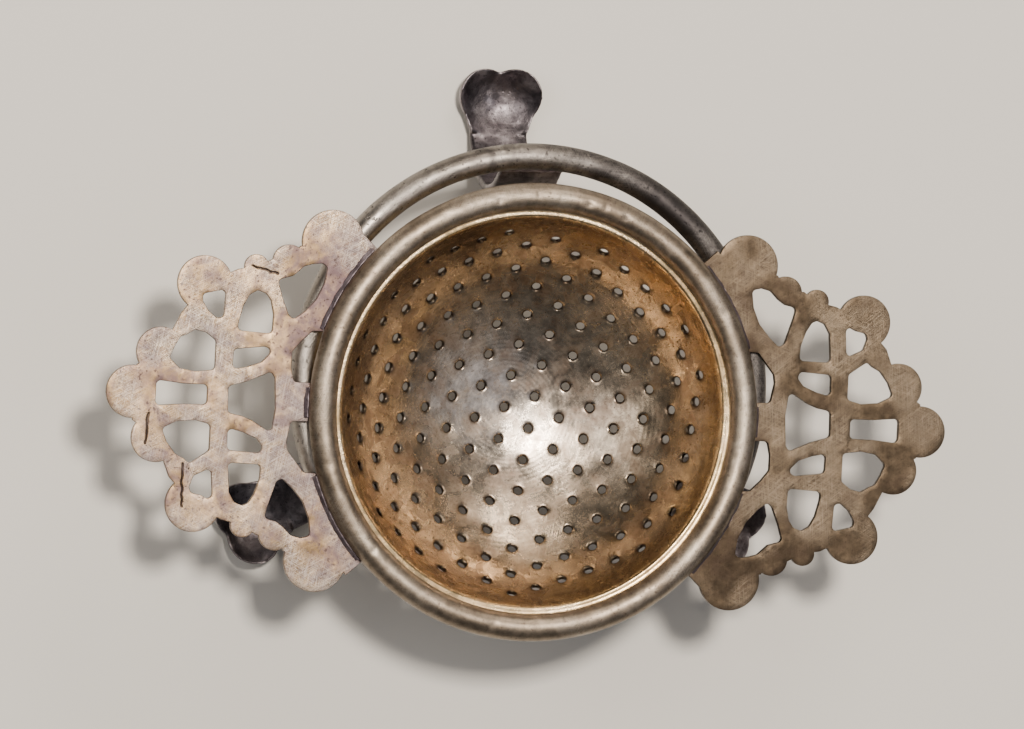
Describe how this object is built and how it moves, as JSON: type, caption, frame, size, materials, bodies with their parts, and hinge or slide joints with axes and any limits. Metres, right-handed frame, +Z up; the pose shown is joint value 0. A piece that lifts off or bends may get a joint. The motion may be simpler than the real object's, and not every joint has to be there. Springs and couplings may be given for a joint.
{
  "type": "tea strainer",
  "caption": "Round tea strainer with a perforated bowl, rolled bead rim and two flat pierced handles, lifting out of a ring stand on curved legs.",
  "frame": {"origin": "on the table, under the middle of the whole outline seen from above", "axes": "+X along the two handles, +Y towards the back leg, +Z up"},
  "size_m": [0.1378, 0.0926, 0.0367],
  "materials": {
    "gilt_bowl": "worn gilt wash over silver plate, spun and brushed",
    "worn_silver_bead": "worn silver plate, satin with small dents",
    "core_wire": "drawn wire, hidden in the bead",
    "pale_silver_plate": "worn silver plate with bright cut edges",
    "brown_silver_plate": "worn silver plate, browner, with bright cut edges",
    "tarnished_rod": "silver plate, bright on one side and blackened on the other",
    "tarnished_strip": "blackened silver plate with bright rubbed patches",
    "dull_solder": "dull purple-grey solder"
  },
  "bodies": {
    "stand": {"stand_ring": "tarnished_rod", "back_leg": "tarnished_strip", "left_leg": "tarnished_strip", "right_leg": "tarnished_strip", "back_leg_solder": "dull_solder", "left_leg_solder": "dull_solder", "right_leg_solder": "dull_solder"},
    "strainer": {"bowl": "gilt_bowl", "rim_bead": "worn_silver_bead", "rim_wire": "core_wire", "left_handle": "pale_silver_plate", "right_handle": "brown_silver_plate", "left_handle_solder": "dull_solder", "right_handle_solder": "dull_solder"}
  },
  "joints": [
    {"name": "strainer_lift", "type": "slide", "parent": "stand", "child": "strainer", "axis": [0, 0, 1], "range_m": [0, 0.03]}
  ]
}
